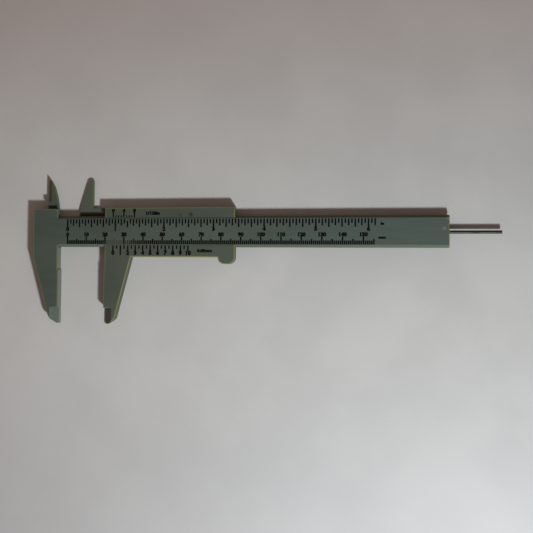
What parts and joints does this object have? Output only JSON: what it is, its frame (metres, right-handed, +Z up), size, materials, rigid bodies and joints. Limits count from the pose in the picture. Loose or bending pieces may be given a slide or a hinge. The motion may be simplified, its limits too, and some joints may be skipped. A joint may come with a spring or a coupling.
{
  "type": "vernier caliper",
  "caption": "Moulded plastic vernier caliper: a flat scaled beam with a fixed jaw and inside blade, a slider with the moving jaw and blade, and a steel depth rod.",
  "frame": {"origin": "on the face that the caliper lies on, under the middle of its overall box, depth rod included, with the slider at its resting reading", "axes": "+X along the beam, from the fixed jaw to the depth rod; +Y across the beam, from the outer jaws to the inside blades; +Z up, out of the front with the scales"},
  "size_m": [0.2334, 0.0738, 0.0044],
  "materials": {
    "beam_plastic": "dark grey-green moulded plastic, satin, with black printed scales, worn off in places",
    "slider_plastic": "the same dark plastic with a finer grain, rubbed along its edges",
    "rod_steel": "bright drawn wire"
  },
  "bodies": {
    "beam": {"main_beam": "beam_plastic"},
    "slide": {"slider": "slider_plastic", "depth_rod": "rod_steel"}
  },
  "joints": [
    {"name": "slider_travel", "type": "slide", "parent": "beam", "child": "slide", "axis": [1, 0, 0], "range_m": [-0.0243, 0.1257]}
  ]
}
